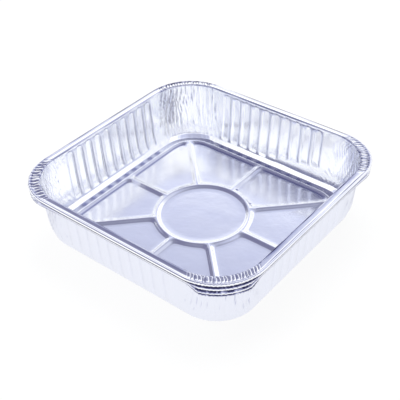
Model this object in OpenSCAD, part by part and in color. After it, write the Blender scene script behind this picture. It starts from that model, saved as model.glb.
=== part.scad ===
// Square foil food container, stamped from one sheet of aluminium foil.
// The sheet is one closed shell with two skins: the show skin, which faces the food and
// the eye, and the back skin, one foil thickness behind it. Both run from the turned-in
// edge of the rolled rim, over the flange, down the fluted wall and across the ribbed floor.
// Z = 0 is the table, and the origin is the centre of the tray.

/* [Overall] */
// Outer side of the square rim
rim_side = 230; // [190:1:280]
// Height of the rim above the table
tray_height = 55.8; // [44:0.2:70]
// Outer corner radius of the rim
rim_corner = 43.7; // [38:0.1:56]
// Thickness of the foil
foil = 0.12; // [0.1:0.01:0.3]

/* [Rim] */
// Width of the flange, from the outer edge to the edge above the wall
flange_width = 7.8; // [6.5:0.1:11]
// How far the low crease along the middle of the flange dips
flange_dip = 0.75; // [0.3:0.05:1.1]
// Depth of the rolled edge along the straight sides
roll_depth = 4.6; // [3.8:0.1:6]
// Depth of the rolled edge round the corners, where the spare foil gathers
corner_roll_depth = 10; // [6.5:0.1:11]
// How far the roll's lower lip turns in below the flange
lip_turn = 2.4; // [1.6:0.1:3.2]
// Crimps pressed into the rim at each corner
crimps = 16; // [9:1:19]
// Depth of the crimps
crimp_depth = 0.55; // [0.2:0.05:0.8]

/* [Wall] */
// Side of the tray at the height where the wall starts to bend in toward its foot
bend_side = 206.2; // [203:0.1:209]
// Height above the table where the wall starts to bend in
bend_height = 9; // [7:0.1:12]
// Side of the tray at the crease at the wall's foot
crease_side = 199; // [195:0.1:201.4]
// Height of the crease above the table
crease_height = 1; // [0.6:0.1:2]
// Corner radius at the crease
crease_corner = 35; // [30:0.1:40]
// Width of the bevel from the crease down to the table
crease_bevel = 1.2; // [0.6:0.1:1.5]
// Flutes pressed outward on each side
flutes = 10; // [4:1:11]
// Distance between neighbouring flutes
flute_pitch = 11.25; // [10:0.05:12]
// Width of a flute
flute_width = 8.8; // [6:0.1:9.6]
// Width of the sloping flank along each edge of a flute
flank_width = 1.25; // [0.6:0.05:2]
// Depth of a flute
flute_depth = 0.85; // [0.4:0.05:1.4]
// Drop from the rim to the top of the flutes
flute_drop = 1.8; // [1.2:0.1:4]
// Length over which the flutes run out above the bend
flute_fade = 4; // [2:0.1:8]
// Creases gathered down the wall at each corner
gathers = 9; // [6:1:11]
// Depth of the gathers
gather_depth = 1; // [0.4:0.05:1.4]

/* [Floor] */
// Height of the floor panels above the table
panel_height = 3.5; // [1.8:0.1:4]
// Height of the ribs above the floor panels
rib_height = 1.7; // [0.8:0.1:2.4]
// Width of the flat top of a rib
rib_top = 2.6; // [1.6:0.1:3.4]
// Width in plan of a rib's sloping side
rib_slope = 2.4; // [1.4:0.1:3]
// Radius of the ring rib, to the middle of its top
ring_radius = 40.7; // [34:0.1:48]
// Side of the square border rib, between the middles of its top
border_side = 175.4; // [166:0.1:178]
// Corner radius of the border rib
border_corner = 25; // [20:0.1:32]
// Rounding of the floor panels' corners, larger values being tighter
panel_rounding = 0.5; // [0.35:0.05:0.8]

/* [Hidden] */

// Half sizes and corner radii of the main outlines. The flange turns down into the wall
// over a small rounded edge.
edge_inset = 0.5;
edge_drop = 0.8;
rim_half = rim_side / 2;
bend_half = bend_side / 2;
crease_half = crease_side / 2;
border_half = border_side / 2;
wall_top_half = rim_half - flange_width - edge_inset;
wall_top_corner = rim_corner - flange_width - edge_inset;
wall_top = tray_height - edge_drop;

// Levels of the floor's show skin
foot_level = foil;
rib_level = panel_height + rib_height + foil;
panel_level = panel_height + foil;

// Half widths of a rib, at its top and at its base
rib_top_half = rib_top / 2;
rib_base_half = rib_top / 2 + rib_slope;

// Slope of the wall, in per unit of out per unit of down, above the bend and through it
wall_slope = (wall_top_half - bend_half) / (wall_top - bend_height);
bend_depth = bend_height - crease_height;
bend_slope = 2 * ((bend_half - crease_half) / bend_depth - wall_slope);

// Outline of a rounded square. A key runs once round it from 0 to 8: each side takes one
// unit and each corner takes the next.
KEYS = 8;
function turn(p, quarter) =
    quarter == 0 ? p : turn([-p[1], p[0]], quarter - 1);
function on_side(half, along) = [half, along];
function on_corner(half, radius, angle) =
    [half - radius + radius * cos(angle), half - radius + radius * sin(angle)];
function outline_point(half, radius, key) =
    let (quarter = floor(key / 2), part = key - 2 * quarter)
    turn(part <= 1 ? on_side(half, (2 * part - 1) * (half - radius))
                   : on_corner(half, radius, 90 * (part - 1)), quarter);

// Keys of the plain rows: the middle and ends of each side, and steps round each corner
corner_steps = 8;
plain_keys = [for (quarter = [0:3])
    each concat([2 * quarter + 0.5],
                [for (i = [0:corner_steps]) 2 * quarter + 1 + i / corner_steps])];

// An irregular looking value between 0 and 1 for crease number i
golden_turn = 137.5;
seed_turn = 61;
function vary(i, seed) = (1 + sin(i * golden_turn + seed * seed_turn)) / 2;

// Share of the corner's spare foil at a key: 0 along a side and 1 in the corner. It reaches
// so far from the corner's middle, in keys, and fades out over the last part of that.
spare_reach = 0.57;
spare_fade = 0.22;
function from_corner(key) =
    let (part = key - 2 * floor(key / 2))
    min(abs(part - 1.5), part + 0.5);
function corner_share(key) =
    max(0, min(1, (spare_reach - from_corner(key)) / spare_fade));
function roll_at(key) = roll_depth + (corner_roll_depth - roll_depth) * corner_share(key);

// Rim rows: keys of the crimps, two to a crimp in each corner and a few along each side
side_marks = [0.04, 0.5, 0.96];
rim_keys = [for (quarter = [0:3])
    each concat([for (m = side_marks) 2 * quarter + m],
                [for (i = [0:2 * crimps]) 2 * quarter + 1 + i / (2 * crimps)])];
least_crimp = 0.6;
function crimp_at(key) =
    let (part = key - 2 * floor(key / 2), i = round((part - 1) * 2 * crimps))
    part < 1 || i <= 0 || i >= 2 * crimps ? 0
        : (i % 2 == 0 ? 1 : -1) * (least_crimp + (1 - least_crimp) * vary(i, floor(key / 2)));

// Section of the rim from the lip to the flange's inner edge. Each row is
// [inset from the outer edge, drop below the rim, share of the roll's depth in the drop,
//  crimp inward, crimp upward, offset of the back skin in plan, offset of the back skin in Z].
rim_rows = [
    [lip_turn, -1.1, 1, 0, 0, 0.8, 0.6],
    [lip_turn - 1.2, 0, 1, 0.3, 0, 0, 1],
    [0.5, -0.5, 1, 0.6, 0, -0.8, 0.6],
    [0.75, 0, 0.52, -0.8, 0, -1, 0],
    [0, 1.4, 0, 1, 0, -0.9, -0.4],
    [1.2, 0, 0, 0.5, 0.4, -0.3, -0.95],
    [flange_width / 2, flange_dip, 0, 0, -0.7, 0, -1],
    [flange_width, 0, 0, 0.8, 0.5, 0.6, -0.8],
];
function rim_point(row, key, back) =
    let (crimp = crimp_depth * crimp_at(key),
         inset = row[0] + row[3] * max(crimp, 0) * 2 - back * foil * row[5],
         drop = row[1] + row[2] * roll_at(key) - row[4] * crimp,
         xy = outline_point(rim_half - inset, rim_corner - inset, key))
    [xy[0], xy[1], tray_height - drop + back * foil * row[6]];
function rim_ring(row, back) = [for (key = rim_keys) rim_point(row, key, back)];

// Stations of the wall rows. A side station is [key, side coordinate of its flute's middle,
// offset from it, depth share]; a corner station is [key, angle, depth share, number].
flute_edge = flute_width / 2;
flute_marks = [[-flute_edge, 0], [flank_width - flute_edge, 1],
               [flute_edge - flank_width, 1], [flute_edge, 0]];
side_stations = [for (i = [0:flutes - 1], m = flute_marks)
    let (middle = (i - (flutes - 1) / 2) * flute_pitch)
    [0.5 + (middle + m[0]) / (flutes + 2) / flute_pitch, middle, m[0], m[1]]];

// Each gather has a valley near the start of its step and a ridge somewhere past its middle
gather_step = 90 / gathers;
valley_place = 0.08;
ridge_place = 0.45;
ridge_play = 0.25;
least_gather = 0.55;
corner_stations = [for (i = [0:gathers - 1], ridge = [0, 1])
    let (place = ridge == 0 ? valley_place : ridge_place + ridge_play * vary(i, 3),
         share = ridge == 0 ? 0 : least_gather + (1 - least_gather) * vary(i, 5),
         angle = gather_step * (i + place))
    [1 + angle / 90, angle, share, i]];
wall_keys = [for (quarter = [0:3])
    each concat([for (s = side_stations) 2 * quarter + s[0]],
                [for (s = corner_stations) 2 * quarter + s[0]])];

// Section of the wall at a height: half size and corner radius of its outline
function bend_inset(share) =
    bend_depth * (wall_slope * share + bend_slope / 2 * share * share);
function wall_half_at(z) =
    z >= bend_height ? bend_half + wall_slope * (z - bend_height)
        : bend_half - bend_inset((bend_height - z) / bend_depth);
function wall_corner_at(z) =
    wall_top_corner + (crease_corner - wall_top_corner) * (wall_top - z) / (wall_top - crease_height);

// Wall rows from the top down: [height, width share of a flute, depth share]. The first
// rows draw the round arch at a flute's top and the last ones run the flute out.
flute_top = tray_height - flute_drop;
arch = flute_edge;
wall_rows = [
    [flute_top, 0.5, 0],
    [flute_top - arch * 0.3, 0.72, 0.9],
    [flute_top - arch * 0.8, 1, 1],
    [bend_height + flute_fade, 1, 1],
    [bend_height, 0.9, 0],
];
gather_play = 2;
function gather_height(row, i) =
    row[0] + (row[2] == 0 ? 0 : gather_play * (vary(i, 7) - 0.5));
function wall_ring(row, back) = [for (quarter = [0:3])
    each concat(
        [for (s = side_stations)
            let (half = wall_half_at(row[0]) + s[3] * row[2] * flute_depth + back * foil,
                 xy = turn(on_side(half, s[1] + s[2] * row[1]), quarter))
            [xy[0], xy[1], row[0]]],
        [for (s = corner_stations)
            let (z = gather_height(row, s[3]), out = s[2] * row[2] * gather_depth + back * foil,
                 xy = turn(on_corner(wall_half_at(z) + out, wall_corner_at(z) + out, s[1]), quarter))
            [xy[0], xy[1], z]])];

// Plain rows from the end of the flutes to the border rib:
// [half size, corner radius, height, offset of the back skin in plan, offset in Z].
// They run down the bend to the crease, over a bevel to the table, along the flat channel
// and up the border rib's outer slope. The back skin lies square to the slopes beside a row.
bend_rows = 3;
function bend_row(share) =
    let (z = bend_height - bend_depth * share,
         tilt = atan(wall_slope + bend_slope * share))
    [wall_half_at(z), wall_corner_at(z), z, cos(tilt), -sin(tilt)];
rib_outer = border_half + rib_top_half;
rib_rise = rib_level - foot_level;
slope_miter = (norm([rib_rise, rib_slope]) - rib_slope) / rib_rise;
bevel_half = crease_half - crease_bevel;
foot_rows = concat(
    [for (i = [1:bend_rows]) bend_row(i / bend_rows)],
    [[bevel_half, crease_corner - crease_bevel, foot_level, 0.3, -1],
     [rib_outer + rib_slope, border_corner + rib_top_half + rib_slope, foot_level, -slope_miter, -1],
     [rib_outer, border_corner + rib_top_half, rib_level, -slope_miter, -1]]);
function plain_ring(row, back) = [for (key = plain_keys)
    let (xy = outline_point(row[0] + back * foil * row[3], row[1] + back * foil * row[3], key))
    [xy[0], xy[1], row[2] + back * foil * row[4]]];

// Middle of the border rib's top, which the floor's sectors share
function border_point(key) = outline_point(border_half, border_corner, key);

// Floor: eight sectors between the spokes. The wanted level at a point follows from its
// distance to the nearest rib, blended so that a panel's corners come out round.
SECTORS = 8;
sector_turn = 360 / SECTORS;
function border_distance(p) =
    let (inner = border_half - border_corner,
         q = [abs(p[0]) - inner, abs(p[1]) - inner])
    border_corner - norm([max(q[0], 0), max(q[1], 0)]) - min(max(q[0], q[1]), 0);
function spoke_distance(p, angle) = p[1] * cos(angle) - p[0] * sin(angle);
function rib_distance(p, sector) =
    let (near = sector_turn * sector, far = near + sector_turn,
         d = [norm(p) - ring_radius, border_distance(p),
              spoke_distance(p, near), -spoke_distance(p, far)])
    -ln(exp(-panel_rounding * d[0]) + exp(-panel_rounding * d[1])
        + exp(-panel_rounding * d[2]) + exp(-panel_rounding * d[3])) / panel_rounding;

// Middle of a panel, from which its outlines are drawn. It lies past half way to the border,
// where a panel is wider.
panel_shift = 4;
panel_radius = (ring_radius + border_half) / 2 + panel_shift;
function panel_middle(sector) =
    let (angle = sector_turn * (sector + 0.5))
    [panel_radius * cos(angle), panel_radius * sin(angle)];

// Point in a direction from the middle where the distance to the ribs falls to a value
search_reach = border_half * 0.8;
search_steps = 22;
function reach(middle, direction, sector, wanted, low, high, steps) =
    let (half_way = (low + high) / 2,
         p = middle + half_way * direction,
         inside = rib_distance(p, sector) > wanted)
    steps == 0 ? p
        : reach(middle, direction, sector, wanted,
                inside ? half_way : low, inside ? high : half_way, steps - 1);

// Corners of a panel: where the ring and the border meet the sector's two spokes
function direction_of(v) = atan2(v[1], v[0]);
function positive(angle) = angle < 0 ? angle + 360 : angle;
function polar(radius, angle) = [radius * cos(angle), radius * sin(angle)];
function panel_corners(sector) =
    let (near = sector_turn * sector, far = near + sector_turn)
    [polar(ring_radius, near), border_point(sector + 0.5), border_point((sector + 1.5) % KEYS),
     polar(ring_radius, far)];
function panel_turns(sector) =
    let (middle = panel_middle(sector), corners = panel_corners(sector),
         start = direction_of(corners[0] - middle))
    [for (c = corners) positive(direction_of(c - middle) - start) % 360];

// Rays from a panel's middle, gathered round its four corners
corner_fan = [-13, -4.5, 4.5, 13];
function panel_rays(sector) =
    let (turns = panel_turns(sector))
    concat([0, corner_fan[3]],
           [for (i = [1:3], f = corner_fan) turns[i] + f],
           [360 + corner_fan[0]]);
function panel_loop(sector, wanted, level) =
    let (middle = panel_middle(sector), start = direction_of(panel_corners(sector)[0] - middle))
    [for (ray = panel_rays(sector))
        let (p = reach(middle, polar(1, start + ray), sector, wanted,
                       0, search_reach, search_steps))
        [p[0], p[1], level]];

// The sector's own outline along the middles of its ribs, shared with its neighbours
ring_steps = 5;
function sector_border_keys(sector) =
    [for (turned = [0, KEYS], key = plain_keys)
        if (key + turned > sector + 0.5 && key + turned < sector + 1.5) key];
function sector_arc(sector) =
    [for (i = [0:ring_steps - 1])
        polar(ring_radius, sector_turn * (sector + 1 - i / ring_steps))];
function sector_outline(sector, level) =
    let (corners = panel_corners(sector),
         plan = concat([corners[0], corners[1]],
                       [for (key = sector_border_keys(sector)) border_point(key)],
                       [corners[2]], sector_arc(sector)))
    [for (p = plan) [p[0], p[1], level]];
function outline_turns(sector, points) =
    let (middle = panel_middle(sector), start = direction_of(points[0] - middle))
    [for (p = points) positive(direction_of(p - middle) - start)];

// Triangles between two closed rows whose places round the tray are given by sorted keys.
// Each step along a row makes one triangle with the place that the other row has reached.
function ends(keys, whole) = [for (i = [1:len(keys)]) i < len(keys) ? keys[i] : keys[0] + whole];
function band(a, b, keys_a, keys_b, whole) =
    let (ends_a = ends(keys_a, whole), ends_b = ends(keys_b, whole),
         count_a = len(keys_a), count_b = len(keys_b))
    concat(
        [for (i = [0:count_a - 1])
            let (j = len([for (e = ends_b) if (e < ends_a[i]) 1]) % count_b)
            [a[i], a[(i + 1) % count_a], b[j]]],
        [for (j = [0:count_b - 1])
            let (i = len([for (e = ends_a) if (e <= ends_b[j]) 1]) % count_a)
            [b[(j + 1) % count_b], b[j], a[i]]]);
function fan(loop, middle) =
    [for (i = [0:len(loop) - 1]) [loop[i], loop[(i + 1) % len(loop)], middle]];

// One skin of the tray as triangles. back is 0 for the show skin and 1 for the back skin.
disc_turns = [for (i = [0:SECTORS * ring_steps - 1]) 360 * i / (SECTORS * ring_steps)];
function disc_ring(radius, level) = [for (a = disc_turns) concat(polar(radius, a), level)];
function flat_disc(back) =
    let (drop = back * foil,
         middle = disc_ring(ring_radius, rib_level - drop),
         top = disc_ring(ring_radius - rib_top_half, rib_level - drop),
         base = disc_ring(ring_radius - rib_base_half, panel_level - drop))
    concat(band(middle, top, disc_turns, disc_turns, 360),
           band(top, base, disc_turns, disc_turns, 360),
           fan(base, [0, 0, panel_level - drop]));
function floor_sector(sector, back) =
    let (drop = back * foil,
         outline = sector_outline(sector, rib_level - drop),
         turns = outline_turns(sector, outline),
         rays = panel_rays(sector),
         top = panel_loop(sector, rib_top_half, rib_level - drop),
         base = panel_loop(sector, rib_base_half, panel_level - drop),
         middle = panel_middle(sector))
    concat(band(outline, top, turns, rays, 360), band(top, base, rays, rays, 360),
           fan(base, [middle[0], middle[1], panel_level - drop]));
function skin(back) =
    let (rim = [for (row = rim_rows) rim_ring(row, back)],
         wall = [for (row = wall_rows) wall_ring(row, back)],
         foot = [for (row = foot_rows) plain_ring(row, back)],
         border = [for (key = plain_keys) concat(border_point(key), rib_level - back * foil)])
    concat(
        [for (i = [0:len(rim) - 2]) each band(rim[i], rim[i + 1], rim_keys, rim_keys, KEYS)],
        band(rim[len(rim) - 1], wall[0], rim_keys, wall_keys, KEYS),
        [for (i = [0:len(wall) - 2]) each band(wall[i], wall[i + 1], wall_keys, wall_keys, KEYS)],
        band(wall[len(wall) - 1], foot[0], wall_keys, plain_keys, KEYS),
        [for (i = [0:len(foot) - 2]) each band(foot[i], foot[i + 1], plain_keys, plain_keys, KEYS)],
        band(foot[len(foot) - 1], border, plain_keys, plain_keys, KEYS),
        [for (sector = [0:SECTORS - 1]) each floor_sector(sector, back)],
        flat_disc(back));
function turned_over(triangles) = [for (t = triangles) [t[2], t[1], t[0]]];

// Foil shell: the two skins, closed along the cut edge inside the roll
module tray() {
    edge = band(rim_ring(rim_rows[0], 1), rim_ring(rim_rows[0], 0), rim_keys, rim_keys, KEYS);
    triangles = concat(skin(0), turned_over(skin(1)), edge);
    points = [for (t = triangles) each t];
    faces = [for (i = [0:len(triangles) - 1]) [3 * i + 2, 3 * i + 1, 3 * i]];
    color([0.85, 0.86, 0.9])
        polyhedron(points = points, faces = faces, convexity = 12);
}

tray();
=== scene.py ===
"""Looks of the square foil tray: one pressed sheet of aluminium foil, built as one mesh.

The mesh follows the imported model's section and adds what the solid leaves plain: hem folds
and pleats round the rim's corners, arched flutes and their prints in the foot channel,
crinkled corner walls and the foil's own unevenness. The side toward the food is bright and
the outside is matt, as on rolled foil. Sizes are in millimetres until the mesh is made,
then in metres.

Lists of four go round the tray: the sides +X, +Y, -X and -Y, or the corners after them,
which are the picture's right, back, left and front ones.
"""
import math

import bpy
import numpy as np
from mathutils import Matrix, Vector


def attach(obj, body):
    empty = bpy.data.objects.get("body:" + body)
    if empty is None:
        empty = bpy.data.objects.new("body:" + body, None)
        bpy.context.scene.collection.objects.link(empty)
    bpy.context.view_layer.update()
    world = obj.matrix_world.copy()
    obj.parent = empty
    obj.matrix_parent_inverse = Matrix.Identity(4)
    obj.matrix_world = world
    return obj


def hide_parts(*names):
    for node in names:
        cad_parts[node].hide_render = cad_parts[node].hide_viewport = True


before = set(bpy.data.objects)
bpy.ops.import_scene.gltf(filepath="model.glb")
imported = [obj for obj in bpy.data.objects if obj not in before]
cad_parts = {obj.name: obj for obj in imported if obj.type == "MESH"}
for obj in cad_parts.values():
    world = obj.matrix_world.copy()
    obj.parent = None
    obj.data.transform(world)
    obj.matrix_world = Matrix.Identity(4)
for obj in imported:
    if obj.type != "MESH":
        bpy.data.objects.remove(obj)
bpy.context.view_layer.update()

MM = 0.001

# Overall sizes
RIM_HALF = 115.0
RIM_CORNER = 43.7
HEIGHT = 55.8
FOIL = 0.12
ROLL_DEPTH = 4.6
CORNER_ROLL_DEPTHS = np.array([8.5, 12.0, 8.0, 12.0])

# Wall, with its slope inward at some levels, and the crease at its foot
WALL_TOP_HALF = 106.7
WALL_TOP_CORNER = 40.5
WALL_TOP = 55.0
WALL_SLOPE_LEVELS = (1.0, 3.9, 4.5, 11.5, 14.0, 28.0, 55.0)
WALL_SLOPES = (0.77, 0.75, 0.27, 0.25, 0.09, 0.09, 0.03)
SLOPE_SAMPLES = 200
CREASE_LEVEL = 1.0
CREASE_HALF = 99.1
FOOT_CORNER = 35.0
FOOT_LEVEL = FOIL

# Flutes
FLUTES = 10
FLUTE_PITCH = 11.25
FLUTE_WIDTH = 8.8
FLUTE_DEPTH = 0.85
FLANK_SHARE = 0.8
FLANK_WIDTH = 1.25
FLUTE_TOP = HEIGHT - 1.8
FLUTE_FOOT = 4.9
FLUTE_FADE = 3.0
FLUTE_SHIFT = np.array([0.0, 2.6, -0.4, 0.0])

# Floor: a border rib, a ring rib, and spokes between the panels
BORDER_HALF = 87.7
BORDER_CORNER = 25.0
RING_RADIUS = 40.7
RIB_LEVEL = 5.32
PANEL_LEVEL = 3.62
RIB_TOP_HALF = 1.3
RIB_SLOPE = 2.4
PANEL_ROUNDING = 0.5
SECTORS = 8
SECTOR_DEGREES = 360 / SECTORS

# The outline's key once round, with 1 for each side and 1 for each corner
WHOLE = 8.0

# Camera, from the photograph's viewing angle
CAMERA_PLACE = (0.3473, -0.4268, 0.4501)
CAMERA_AZIMUTH = 39.37
CAMERA_ELEVATION = 38.06
CAMERA_ROLL = -1.5
CAMERA_LENS = 72.8
CAMERA_SENSOR = 36
CAMERA_CLIP = (0.01, 50)


def smooth(t):
    """Smooth step from 0 at t = 0 to 1 at t = 1."""
    t = np.clip(t, 0, 1)
    return t * t * (3 - 2 * t)


class Noise:
    """Smooth seeded noise over a plane, with values from about -1 to 1."""

    TABLE = 64

    def __init__(self, seed):
        self.table = np.random.default_rng(seed).uniform(-1, 1, (self.TABLE, self.TABLE))

    def __call__(self, u, v):
        u, v = np.broadcast_arrays(np.asarray(u, float), np.asarray(v, float))
        i, j = np.floor(u).astype(int), np.floor(v).astype(int)
        a, b = smooth(u - i), smooth(v - j)
        t, n = self.table, self.TABLE
        low = t[i % n, j % n] * (1 - a) + t[(i + 1) % n, j % n] * a
        high = t[i % n, (j + 1) % n] * (1 - a) + t[(i + 1) % n, (j + 1) % n] * a
        return low * (1 - b) + high * b


def zigzag(t):
    """Triangle wave from -1 to 1 with a period of 1."""
    return 4 * np.abs(t - np.floor(t + 0.5)) - 1


def turned(x, y, quarter):
    """A plan point turned by quarter turns."""
    c = np.array([1, 0, -1, 0])[quarter % 4]
    s = np.array([0, 1, 0, -1])[quarter % 4]
    return x * c - y * s, x * s + y * c


def outline(half, radius, key):
    """Plan points of a rounded square. The key runs from 0 to 8: a side, then a corner."""
    quarter = np.floor(key / 2).astype(int)
    part = key - 2 * quarter
    angle = np.radians(90 * np.clip(part - 1, 0, 1))
    inner = half - radius
    x = inner + radius * np.cos(angle)
    y = np.where(part <= 1, (2 * part - 1) * inner, inner) + radius * np.sin(angle)
    return turned(x, y, quarter)


def spread(sides, corners):
    """Keys of a row with so many steps along each side and round each corner."""
    side, corner = np.arange(sides) / sides, 1 + np.arange(corners) / corners
    return np.concatenate([2 * q + np.concatenate([side, corner]) for q in range(4)])


class Sheet:
    """Vertices and triangles of the foil's show skin, as they are added.

    Each vertex also has a painted shade value, 0 on open foil and 1 deep in a tight fold,
    which darkens the foil's colour there as painted shade, and a painted edge shade value,
    which darkens the colour along an edge that is pressed sharp on the upper side.
    """

    def __init__(self):
        self.points, self.creases, self.presses, self.triangles, self.count = [], [], [], [], 0

    def row(self, x, y, z, crease=0.0, press=0.0):
        """Adds a row of vertices and returns their numbers."""
        x, y, z, crease, press = np.broadcast_arrays(x, y, z, crease, press)
        self.points.append(np.stack([x, y, z], 1))
        self.creases.append(np.clip(crease, 0, 1))
        self.presses.append(np.clip(press, 0, 1))
        self.count += len(x)
        return np.arange(self.count - len(x), self.count)

    def band(self, a, b, keys_a, keys_b, whole=WHOLE):
        """Triangles between two closed rows whose keys say how far round each vertex is."""
        ends_a = np.append(keys_a[1:], keys_a[0] + whole)
        ends_b = np.append(keys_b[1:], keys_b[0] + whole)
        j = np.searchsorted(ends_b, ends_a, side="left") % len(b)
        self.triangles.append(np.stack([a, np.roll(a, -1), b[j]], 1))
        i = np.searchsorted(ends_a, ends_b, side="right") % len(a)
        self.triangles.append(np.stack([np.roll(b, -1), b, a[i]], 1))

    def fan(self, loop, middle):
        """Triangles between a closed row and one vertex inside it."""
        self.triangles.append(
            np.stack([loop, np.roll(loop, -1), np.full(len(loop), middle)], 1))


# Rim

PLEATS = (22, 24, 17, 24)
PLEAT_MARKS = np.array([0.0, 0.13, 0.28, 0.72, 0.87])
RIM_SIDE_STEPS = 17


def rim_keys():
    """Keys of the rim's rows, with five to each pleat of a corner."""
    keys = []
    for quarter, count in enumerate(PLEATS):
        keys.append(2 * quarter + np.arange(RIM_SIDE_STEPS) / RIM_SIDE_STEPS)
        pleats = np.arange(count)[:, None] + PLEAT_MARKS
        keys.append(2 * quarter + 1 + pleats.ravel() / count)
    return np.concatenate(keys)


RIM_KEYS = rim_keys()
RIM_QUARTER = np.floor(RIM_KEYS / 2).astype(int)
RIM_PLEATS = np.array(PLEATS)[RIM_QUARTER]
NEAR_CORNER = np.floor((RIM_KEYS - 0.5) / 2).astype(int) % 4

# Section of the rim from the lip inside the roll to the flange's inner edge: inset from the
# outer edge, drop, share of the roll's depth, crimp inward, crimp upward, extra inset of a
# corner's hem, painted shade value in a corner, painted shade value along a side, and then
# the painted shade values of a dark line along the flange on each of the four sides
RIM_ROWS = [
    (2.4, -1.2, 1.0, 0.0, 0.0, 0.0, 0.0, 0.0, 0.0, 0.0, 0.0, 0.0),
    (1.9, -0.5, 1.0, 0.1, 0.0, 0.0, 0.0, 0.0, 0.0, 0.0, 0.0, 0.0),
    (1.25, -0.1, 1.0, 0.3, 0.0, 0.0, 0.0, 0.0, 0.0, 0.0, 0.0, 0.0),
    (0.75, -0.2, 1.0, 0.5, 0.0, 0.0, 0.0, 0.0, 0.0, 0.0, 0.0, 0.0),
    (0.5, -0.4, 1.0, 0.5, 0.0, 0.0, 0.0, 0.0, 0.0, 0.0, 0.0, 0.0),
    (0.66, -0.3, 0.97, 0.2, 0.0, 0.8, 1.0, 0.9, 0.0, 0.0, 0.0, 0.0),
    (0.7, 0.25, 0.83, 0.1, 0.0, 0.9, 1.0, 0.9, 0.0, 0.0, 0.0, 0.0),
    (0.66, 0.35, 0.8, 0.3, 0.0, 0.2, 0.0, 0.0, 0.0, 0.0, 0.0, 0.0),
    (0.62, 0.45, 0.75, 0.5, 0.0, -0.1, 0.0, 0.0, 0.0, 0.0, 0.0, 0.0),
    (0.68, 0.5, 0.72, 0.3, 0.0, 0.2, 0.0, 0.0, 0.0, 0.0, 0.0, 0.0),
    (0.76, 0.6, 0.68, 0.1, 0.0, 1.0, 1.0, 0.1, 0.0, 0.0, 0.0, 0.0),
    (0.76, 1.0, 0.45, 0.1, 0.0, 1.0, 1.0, 0.1, 0.0, 0.0, 0.0, 0.0),
    (0.72, 1.15, 0.41, 0.3, 0.0, 0.2, 0.0, 0.0, 0.0, 0.0, 0.0, 0.0),
    (0.7, 1.25, 0.37, 0.5, 0.0, -0.1, 0.0, 0.0, 0.0, 0.0, 0.0, 0.0),
    (0.74, 1.45, 0.31, 0.3, 0.0, 0.2, 0.0, 0.7, 0.0, 0.0, 0.0, 0.0),
    (0.7, 1.65, 0.25, 0.1, 0.0, 1.0, 1.0, 1.0, 0.0, 0.0, 0.0, 0.0),
    (0.4, 1.45, 0.03, 0.1, 0.0, 0.8, 1.0, 1.0, 0.0, 0.0, 0.0, 0.0),
    (0.2, 1.42, 0.01, 0.4, 0.0, 0.1, 0.2, 0.8, 0.0, 0.0, 0.0, 0.0),
    (0.02, 1.3, 0.0, 0.7, 0.0, 0.0, 0.0, 0.0, 0.0, 0.0, 0.0, 0.0),
    (0.1, 0.8, 0.0, 0.6, 0.1, 0.0, 0.0, 0.0, 0.3, 0.9, 0.9, 0.0),
    (0.5, 0.28, 0.0, 0.4, 0.1, 0.0, 0.0, 0.0, 0.0, 1.0, 1.0, 0.0),
    (1.1, 0.02, 0.0, 0.2, 0.15, 0.0, 0.0, 0.0, 0.0, 1.0, 1.0, 0.0),
    (1.8, 0.12, 0.0, 0.0, 0.2, 0.0, 0.0, 0.0, 0.0, 0.8, 0.8, 0.0),
    (2.2, 0.3, 0.0, 0.0, 0.4, 0.0, 0.3, 0.0, 0.7, 0.0, 0.0, 0.5),
    (2.6, 0.42, 0.0, 0.0, 0.8, 0.0, 0.2, 0.0, 0.5, 0.0, 0.0, 0.4),
    (3.3, 0.62, 0.0, 0.0, 1.0, 0.0, 0.0, 0.0, 0.0, 0.5, 0.2, 0.0),
    (4.0, 0.78, 0.0, 0.0, 1.0, 0.0, 0.0, 0.0, 0.0, 0.0, 0.0, 0.0),
    (4.7, 0.66, 0.0, 0.0, 1.0, 0.0, 0.0, 0.0, 0.0, 0.0, 0.0, 0.0),
    (6.4, 0.14, 0.0, 0.1, 1.0, 0.0, 0.0, 0.0, 0.4, 0.0, 0.0, 0.2),
    (7.0, 0.06, 0.0, 0.2, 1.0, 0.0, 0.0, 0.0, 1.0, 0.0, 0.0, 0.3),
    (7.6, 0.24, 0.0, 0.3, 0.8, 0.0, 0.2, 0.0, 1.0, 0.2, 0.1, 0.7),
    (8.0, 0.7, 0.0, 0.3, 0.4, 0.0, 0.4, 0.0, 1.0, 0.8, 0.75, 0.9),
]

# Pleats: their depth, half the width of a valley as a share of a pleat, the height of a
# ridge as a share of the depth, how they vary, and where they set in on the outline's key
PLEAT_DEPTH = 0.62
PLEAT_SPREAD = 0.28
PLEAT_RIDGE = 0.3
PLEAT_STRENGTH = 0.85
PLEAT_VARIETY = 0.3
PLEAT_START = 1.0
PLEAT_RUN = 0.16
# Painted shade in the pleats' valleys, for each corner
PLEAT_SHADE = np.array([1.6, 1.4, 0.7, 0.6])

# Hem folds of the corners' roll: where on the key they set in, over how much, and how
# dark the painted shade in them is
HEM_START = np.array([0.72, 0.97, 0.72, 1.05])
HEM_RUN = np.array([0.55, 0.2, 0.55, 0.18])
HEM_SHADE = np.array([0.8, 0.7, 0.8, 1.0])
HEM_WANDER = 0.35

# Flange: how it is rounded inside a corner, and how it lies on the back sides
FLANGE_INSETS = (1, 8)
FLANGE_ROUNDING = 5.1
DISH_INSETS = (1, 7.5)
BACK_SIDES = (0, 1.5, 1, 0)
BACK_DIP = 0.35
BACK_TILT = 0.1
TILT_INSET = 5.0

# Dark lines of painted shade along the flange: their strength, its variety, and how they
# fade into a corner
LINE_STRENGTH = 0.8
LINE_VARIETY = 0.9
LINE_START = 0.95
LINE_RUN = 0.2
LINE_FADE = 0.75

# Spots of painted shade on a corner's flange, between two insets that they fade in and out at
CORNER_SHADE_SPOTS = np.array([0.1, 1.9, 0.0, 0.1])
SPOT_VARIETY = 1.4
SPOTS_FROM, SPOTS_IN = 0.3, 0.3
SPOTS_UNTIL, SPOTS_OUT = 4.2, 1.5
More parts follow.
